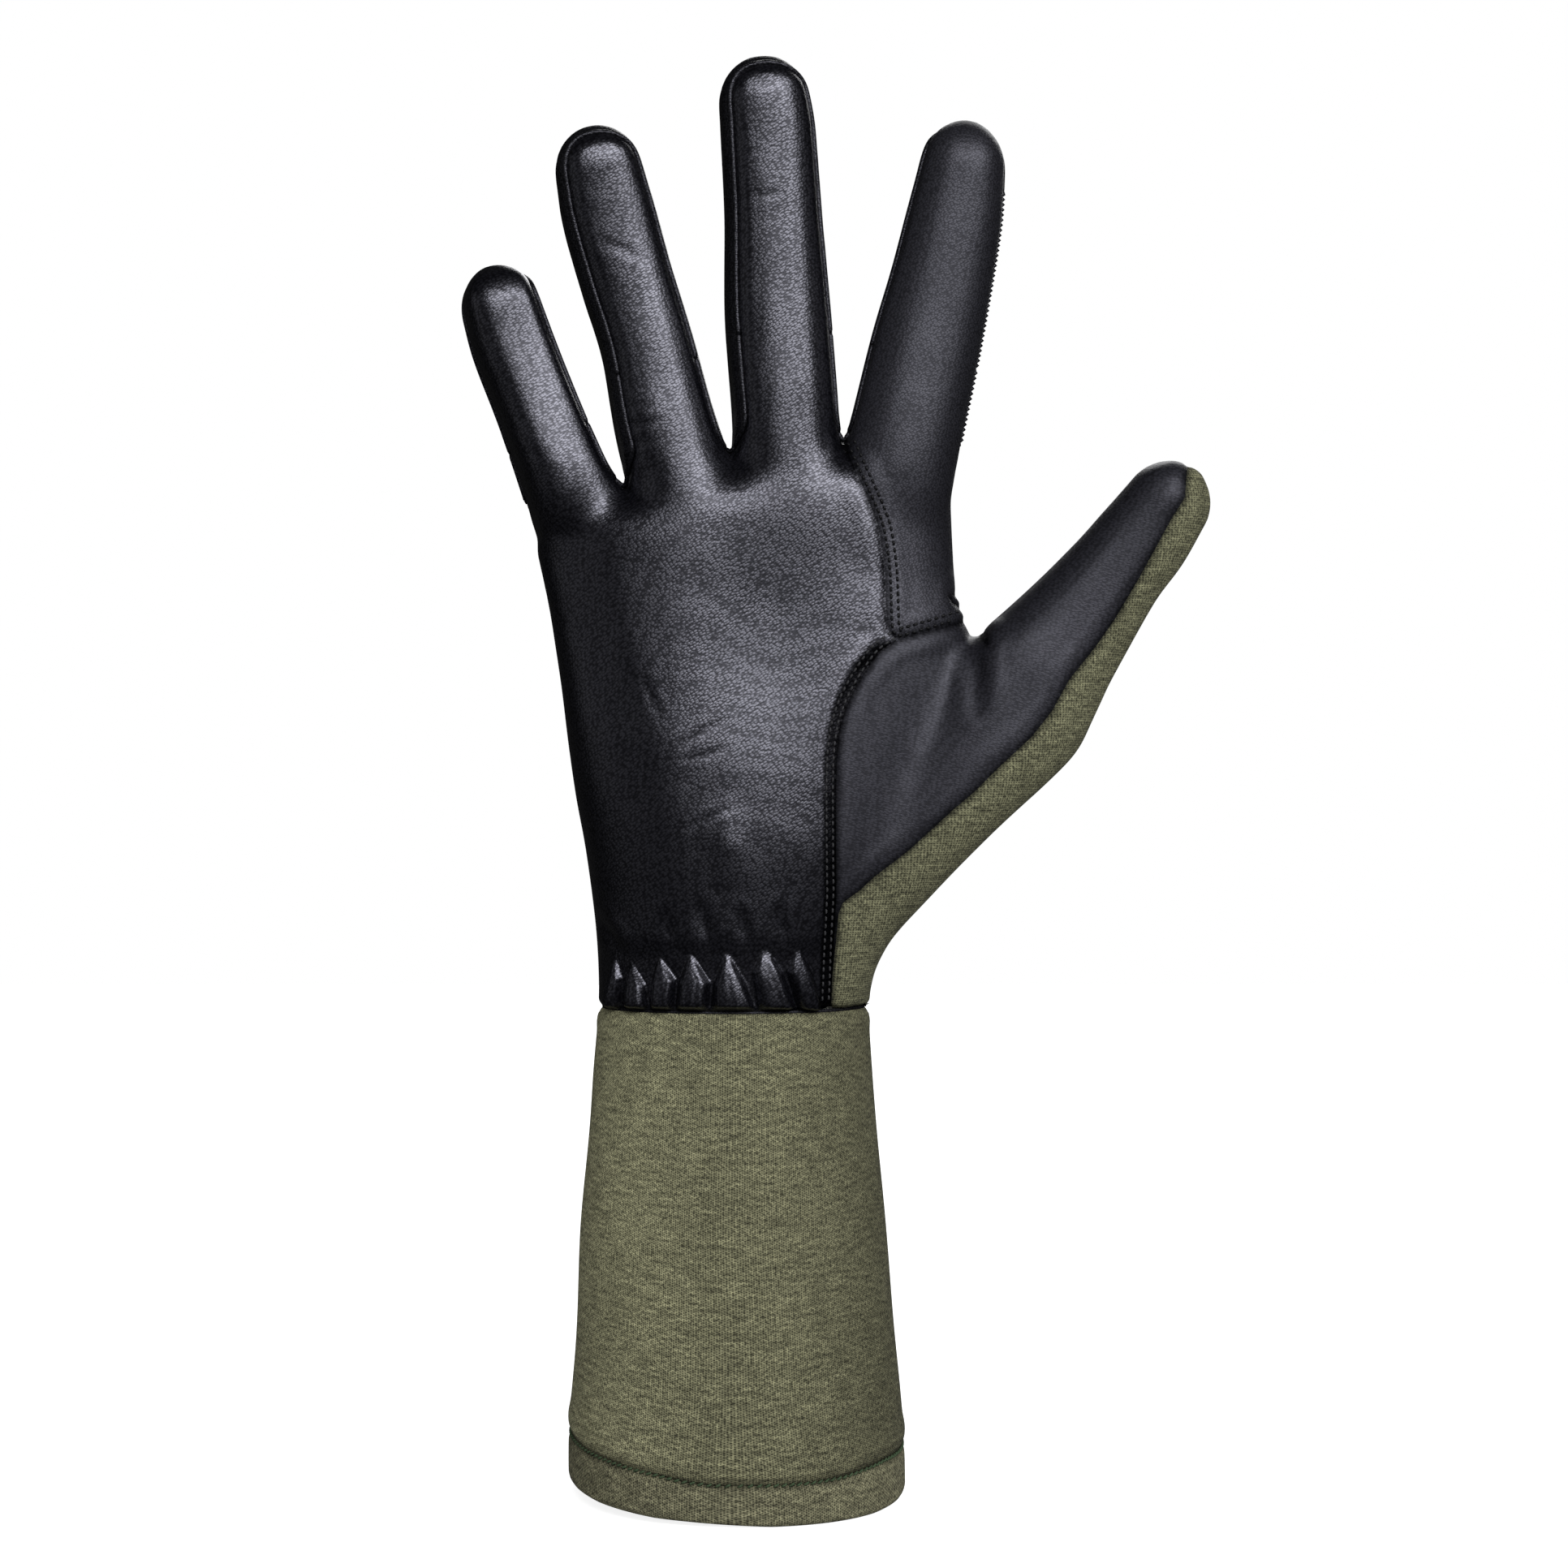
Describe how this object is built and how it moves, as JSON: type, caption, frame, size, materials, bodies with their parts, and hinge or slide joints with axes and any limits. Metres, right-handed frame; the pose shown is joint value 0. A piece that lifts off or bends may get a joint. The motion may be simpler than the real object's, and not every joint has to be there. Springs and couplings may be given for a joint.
{
  "type": "gauntlet glove",
  "caption": "Right-hand leather and knit gauntlet glove, standing open on its cuff, with fingers and thumb that bend at their roots and middle knuckles.",
  "frame": {"origin": "middle of the cuff opening, in the plane of its rim, where the hand goes in", "axes": "+Z from the cuff rim up to the fingertips, -Y out of the palm, +X towards the thumb"},
  "size_m": [0.1642, 0.068, 0.3155],
  "materials": {
    "palm_leather": "glossy grained black leather",
    "index_leather": "matt black leather",
    "thumb_leather": "smooth matt black leather",
    "side_wall_leather": "thin black leather",
    "back_knit": "ribbed olive knit",
    "cuff_knit": "fine olive knit",
    "cuff_hem_knit": "folded olive knit with dark stitching",
    "wrist_elastic": "woven elastic"
  },
  "bodies": {
    "hand": {"cuff_hem": "cuff_hem_knit", "cuff_knit": "cuff_knit", "wrist_elastic": "wrist_elastic", "wrist_welt": "side_wall_leather", "palm_leather": "palm_leather", "index_palm_leather": "index_leather", "thumb_mound_leather": "thumb_leather", "hand_back_knit": "back_knit", "index_back_knit": "back_knit", "thumb_root_knit": "back_knit", "web_little_ring": "side_wall_leather", "web_ring_middle": "side_wall_leather", "web_middle_index": "side_wall_leather"},
    "little_lower": {"little_lower_leather": "palm_leather", "little_lower_knit": "back_knit", "little_lower_walls": "side_wall_leather"},
    "little_upper": {"little_upper_leather": "palm_leather", "little_upper_knit": "back_knit", "little_upper_walls": "side_wall_leather"},
    "ring_lower": {"ring_lower_leather": "palm_leather", "ring_lower_knit": "back_knit", "ring_lower_walls": "side_wall_leather"},
    "ring_upper": {"ring_upper_leather": "palm_leather", "ring_upper_knit": "back_knit", "ring_upper_walls": "side_wall_leather"},
    "middle_lower": {"middle_lower_leather": "palm_leather", "middle_lower_knit": "back_knit", "middle_lower_walls": "side_wall_leather"},
    "middle_upper": {"middle_upper_leather": "palm_leather", "middle_upper_knit": "back_knit", "middle_upper_walls": "side_wall_leather"},
    "index_lower": {"index_lower_leather": "index_leather", "index_lower_knit": "back_knit", "index_lower_walls": "side_wall_leather"},
    "index_upper": {"index_upper_leather": "index_leather", "index_upper_knit": "back_knit", "index_upper_walls": "side_wall_leather"},
    "thumb_lower": {"thumb_lower_leather": "thumb_leather", "thumb_lower_knit": "back_knit"},
    "thumb_upper": {"thumb_upper_leather": "thumb_leather", "thumb_upper_knit": "back_knit"}
  },
  "joints": [
    {"name": "little_root_hinge", "type": "hinge", "parent": "hand", "child": "little_lower", "pos_m": [-0.03575, -0.0085, 0.216], "axis": [0.9317, 0, 0.3633], "range_deg": [0, 60]},
    {"name": "little_knuckle_hinge", "type": "hinge", "parent": "little_lower", "child": "little_upper", "pos_m": [-0.04376, -0.0086, 0.23862], "axis": [0.9426, 0, 0.3338], "range_deg": [0, 70]},
    {"name": "ring_root_hinge", "type": "hinge", "parent": "hand", "child": "ring_lower", "pos_m": [-0.01346, -0.0085, 0.22333], "axis": [0.9636, 0, 0.2672], "range_deg": [0, 60]},
    {"name": "ring_knuckle_hinge", "type": "hinge", "parent": "ring_lower", "child": "ring_upper", "pos_m": [-0.02163, -0.00863, 0.25737], "axis": [0.9724, 0, 0.2334], "range_deg": [0, 70]},
    {"name": "middle_root_hinge", "type": "hinge", "parent": "hand", "child": "middle_lower", "pos_m": [0.01097, -0.0085, 0.22839], "axis": [0.9905, 0, 0.1374], "range_deg": [0, 60]},
    {"name": "middle_knuckle_hinge", "type": "hinge", "parent": "middle_lower", "child": "middle_upper", "pos_m": [0.00885, -0.00861, 0.26633], "axis": [0.9984, 0, 0.0558], "range_deg": [0, 70]},
    {"name": "index_root_hinge", "type": "hinge", "parent": "hand", "child": "index_lower", "pos_m": [0.03582, -0.0085, 0.22746], "axis": [0.9781, 0, -0.2079], "range_deg": [0, 60]},
    {"name": "index_knuckle_hinge", "type": "hinge", "parent": "index_lower", "child": "index_upper", "pos_m": [0.04268, -0.00863, 0.25974], "axis": [0.9781, 0, -0.2079], "range_deg": [0, 70]},
    {"name": "thumb_root_hinge", "type": "hinge", "parent": "hand", "child": "thumb_lower", "pos_m": [0.0712, -0.015, 0.18529], "axis": [0.7986, 0, -0.6018], "range_deg": [0, 35]},
    {"name": "thumb_knuckle_hinge", "type": "hinge", "parent": "thumb_lower", "child": "thumb_upper", "pos_m": [0.08384, -0.01434, 0.20206], "axis": [0.7986, 0, -0.6018], "range_deg": [0, 55]}
  ]
}
